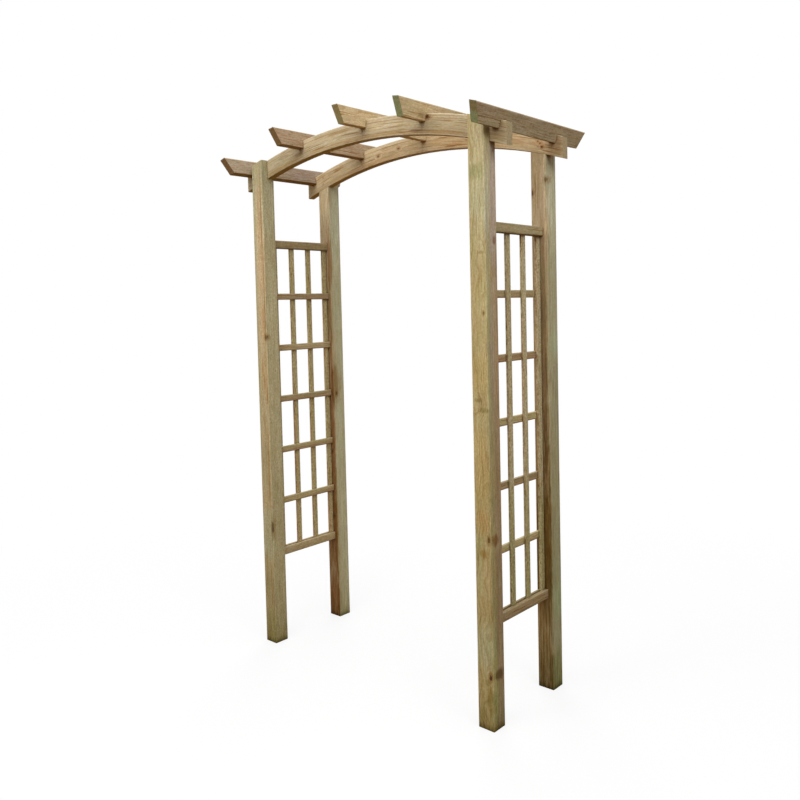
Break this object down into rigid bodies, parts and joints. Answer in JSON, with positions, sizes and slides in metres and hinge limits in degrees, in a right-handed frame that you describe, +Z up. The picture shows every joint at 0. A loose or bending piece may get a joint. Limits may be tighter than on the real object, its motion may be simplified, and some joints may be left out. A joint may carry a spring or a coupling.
{
  "type": "garden arch",
  "caption": "Free-standing timber garden arch: notched square posts carry curved beams, slant-ended rafters lie over them, and a grooved trellis panel fills each side.",
  "frame": {"origin": "on the ground, in the middle of the four posts", "axes": "+Z up, X across the walkway, Y through it with the front towards -Y"},
  "size_m": [1.4378, 0.726, 2.324],
  "materials": {
    "posts": "planed pressure-treated softwood, olive-tan with green tint",
    "arch_beams": "planed pressure-treated softwood, laminated along the curve",
    "rafters": "planed pressure-treated softwood, brown with green end grain",
    "trellis_rails": "planed pressure-treated softwood, brown",
    "trellis_laths": "planed pressure-treated softwood laths",
    "fixings": "coated exterior wood screws and nails, dull brown"
  },
  "bodies": {
    "root": {"post_front_left": "posts", "post_front_right": "posts", "post_back_left": "posts", "post_back_right": "posts", "arch_beam_front": "arch_beams", "arch_beam_back": "arch_beams", "rafter_far_left": "rafters", "rafter_left": "rafters", "rafter_middle": "rafters", "rafter_right": "rafters", "rafter_far_right": "rafters", "left_bottom_rail": "trellis_rails", "left_top_rail": "trellis_rails", "right_bottom_rail": "trellis_rails", "right_top_rail": "trellis_rails", "left_lath_1": "trellis_laths", "left_lath_2": "trellis_laths", "left_lath_3": "trellis_laths", "left_lath_4": "trellis_laths", "left_lath_5": "trellis_laths", "right_lath_1": "trellis_laths", "right_lath_2": "trellis_laths", "right_lath_3": "trellis_laths", "right_lath_4": "trellis_laths", "right_lath_5": "trellis_laths", "left_upright_1": "trellis_laths", "left_upright_2": "trellis_laths", "left_upright_3": "trellis_laths", "left_upright_4": "trellis_laths", "right_upright_1": "trellis_laths", "right_upright_2": "trellis_laths", "right_upright_3": "trellis_laths", "right_upright_4": "trellis_laths", "beam_screws": "fixings", "rafter_screws": "fixings", "left_trellis_nails": "fixings", "right_trellis_nails": "fixings"}
  },
  "joints": []
}
